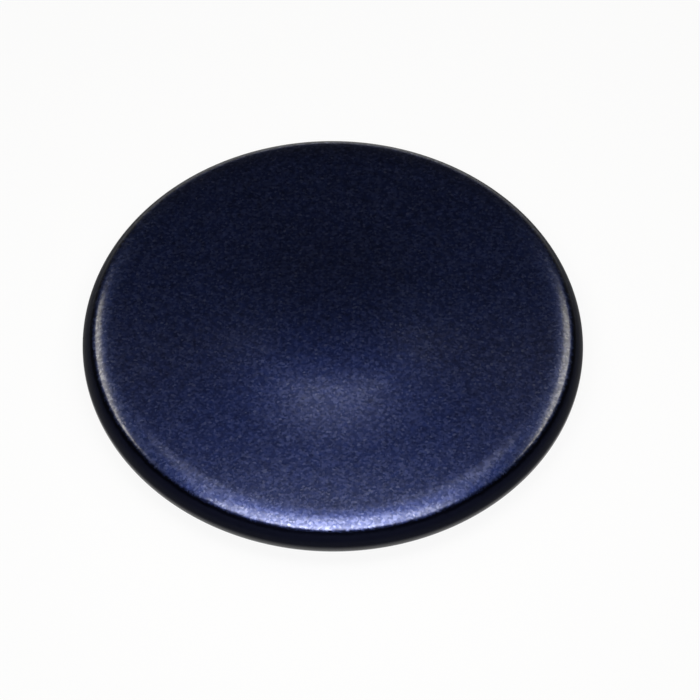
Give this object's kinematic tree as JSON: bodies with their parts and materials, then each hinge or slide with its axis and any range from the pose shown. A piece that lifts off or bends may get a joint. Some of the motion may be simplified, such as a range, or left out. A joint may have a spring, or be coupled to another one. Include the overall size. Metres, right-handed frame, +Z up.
{
  "type": "gas burner cap",
  "caption": "Round domed metal cap with a full round rim, dark enamel finish, flat seat, locating lip and hollow underside; covers a gas hob burner head and spreads its flame.",
  "frame": {"origin": "on the cap's axis, level with the foot of the locating lip it stands on", "axes": "+Z up along the axis, towards the dome; X and Y are alike on this round part"},
  "size_m": [0.075, 0.075, 0.0095],
  "materials": {
    "enamel": "satin blue-black vitreous enamel with a fine sparkling grain, fired over the whole casting"
  },
  "bodies": {
    "root": {"burner_cap": "enamel"}
  },
  "joints": []
}
